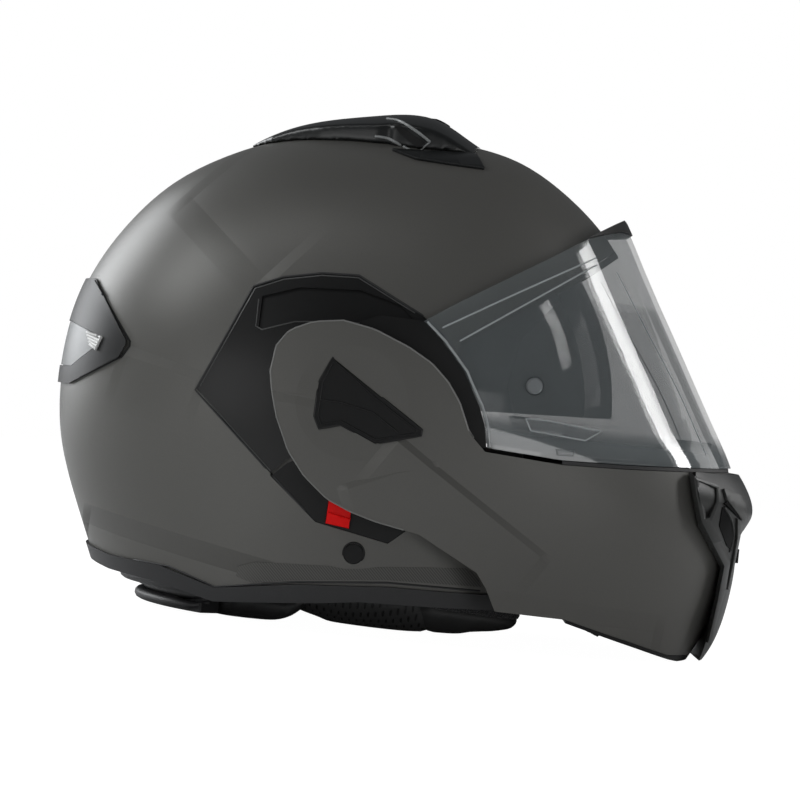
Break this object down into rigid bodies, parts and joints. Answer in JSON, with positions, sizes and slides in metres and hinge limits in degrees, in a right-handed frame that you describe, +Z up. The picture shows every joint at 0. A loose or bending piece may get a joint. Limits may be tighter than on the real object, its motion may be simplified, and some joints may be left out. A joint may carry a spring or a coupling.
{
  "type": "modular motorcycle helmet",
  "caption": "Flip-front motorcycle helmet with clear visor, inner sun visor, vents, padded lining and quick-release chin strap.",
  "frame": {"origin": "on the resting surface, under the middle of the helmet's overall box", "axes": "+X the way the wearer looks, +Y the wearer's left, +Z up"},
  "size_m": [0.3574, 0.2528, 0.259],
  "materials": {
    "shell_paint": "matte warm grey paint on a moulded fibre shell",
    "black_plastic": "fine-grained black plastic",
    "dark_plastic": "satin dark plastic",
    "red_plastic": "semi-gloss red plastic",
    "grille_plastic": "pale slatted plastic",
    "clear_lens": "clear polycarbonate",
    "smoke_lens": "smoke-tinted polycarbonate",
    "insert_film": "clear film with a silicone bead",
    "rubber": "soft black rubber",
    "foam": "moulded expanded polystyrene, black",
    "fabric": "black mesh and knitted fabric over foam",
    "leather": "perforated synthetic leather over foam",
    "strap": "woven polyester webbing",
    "steel": "plated steel",
    "alloy": "satin aluminium"
  },
  "bodies": {
    "helmet_shell": {"outer_shell": "shell_paint", "eps_liner": "foam", "comfort_liner": "fabric", "cheek_pad_left": "leather", "cheek_pad_right": "leather", "neck_roll": "leather", "base_trim": "rubber", "rear_skirt": "rubber", "rear_vent_panel": "black_plastic", "rear_vent_grille": "grille_plastic", "crown_vent_base": "black_plastic", "crown_spoiler": "black_plastic", "side_plate_left": "dark_plastic", "side_plate_right": "dark_plastic", "side_plate_lower_left": "black_plastic", "side_plate_lower_right": "black_plastic", "strap_anchor_caps": "black_plastic", "strap_anchor_rivets": "steel", "chin_strap_left": "strap", "chin_strap_right": "strap", "buckle_housing": "steel", "buckle_tongue": "black_plastic", "pivot_axle_left": "steel", "pivot_axle_right": "steel", "pivot_screws": "steel", "sun_visor_pins": "steel", "latch_strikers": "steel", "eyeport_gasket": "rubber"},
    "chin_bar": {"chin_bar_shell": "shell_paint", "chin_bar_padding": "foam", "chin_arm_plate_left": "alloy", "chin_arm_plate_right": "alloy", "arm_inset_left": "black_plastic", "arm_inset_right": "black_plastic", "chin_mask": "black_plastic", "chin_vent_mesh": "steel", "breath_guard": "rubber", "chin_curtain": "fabric", "chin_base_cover": "black_plastic", "visor_seal": "rubber", "button_spring": "steel"},
    "visor": {"visor_lens": "clear_lens", "visor_lip": "black_plastic", "anti_fog_insert": "insert_film", "anti_fog_pins": "black_plastic", "visor_arm_left": "black_plastic", "visor_arm_right": "black_plastic"},
    "sun_visor": {"sun_visor_lens": "smoke_lens"},
    "sun_visor_knob": {"sun_visor_slider": "black_plastic"},
    "crown_slider": {"crown_vent_slider": "black_plastic"},
    "chin_slider": {"chin_vent_slider": "black_plastic"},
    "button": {"release_button": "red_plastic"},
    "hook_left": {"latch_hook_left": "steel"},
    "hook_right": {"latch_hook_right": "steel"},
    "tab_left": {"lock_tab_left": "red_plastic"},
    "tab_right": {"lock_tab_right": "red_plastic"},
    "lever": {"buckle_lever": "red_plastic"}
  },
  "joints": [
    {"name": "chin_bar_flip", "type": "hinge", "parent": "helmet_shell", "child": "chin_bar", "pos_m": [-0.0275, 0, 0.1115], "axis": [0, 1, 0], "range_deg": [-180, 0]},
    {"name": "visor_lift", "type": "hinge", "parent": "chin_bar", "child": "visor", "pos_m": [-0.0275, 0, 0.1115], "axis": [0, -1, 0], "range_deg": [0, 50]},
    {"name": "sun_visor_swing", "type": "hinge", "parent": "helmet_shell", "child": "sun_visor", "pos_m": [-0.0275, 0, 0.1115], "axis": [0, -1, 0], "range_deg": [0, 38]},
    {"name": "sun_visor_knob_slide", "type": "slide", "parent": "helmet_shell", "child": "sun_visor_knob", "axis": [1, 0, 0], "range_m": [0, 0.01201]},
    {"name": "crown_vent_slide", "type": "slide", "parent": "helmet_shell", "child": "crown_slider", "axis": [-1, 0, 0], "range_m": [0, 0.009]},
    {"name": "chin_vent_slide", "type": "slide", "parent": "chin_bar", "child": "chin_slider", "axis": [0, 0, 1], "range_m": [0, 0.009]},
    {"name": "release_button_press", "type": "slide", "parent": "chin_bar", "child": "button", "axis": [0, 0, 1], "range_m": [0, 0.0025], "stiffness_N_per_m": 800},
    {"name": "latch_hook_left_turn", "type": "hinge", "parent": "chin_bar", "child": "hook_left", "pos_m": [0.05872, 0, 0.04825], "axis": [0, -1, 0], "range_deg": [0, 10.1]},
    {"name": "latch_hook_right_turn", "type": "hinge", "parent": "chin_bar", "child": "hook_right", "pos_m": [0.05872, 0, 0.04825], "axis": [0, -1, 0], "range_deg": [0, 10.1]},
    {"name": "lock_tab_left_slide", "type": "slide", "parent": "helmet_shell", "child": "tab_left", "axis": [0, 0, 1], "range_m": [0, 0.003]},
    {"name": "lock_tab_right_slide", "type": "slide", "parent": "helmet_shell", "child": "tab_right", "axis": [0, 0, 1], "range_m": [0, 0.003]},
    {"name": "buckle_lever_lift", "type": "hinge", "parent": "helmet_shell", "child": "lever", "pos_m": [-0.01965, 0.0257, 0.0065], "axis": [1, 0, 0], "range_deg": [0, 40], "stiffness_Nm_per_rad": 0.05}
  ],
  "couplings": [
    {"joint": "sun_visor_knob_slide", "follows": "sun_visor_swing", "m_per_rad": 0.018093},
    {"joint": "latch_hook_left_turn", "follows": "release_button_press", "rad_per_m": 69.813},
    {"joint": "latch_hook_right_turn", "follows": "release_button_press", "rad_per_m": 69.813}
  ]
}
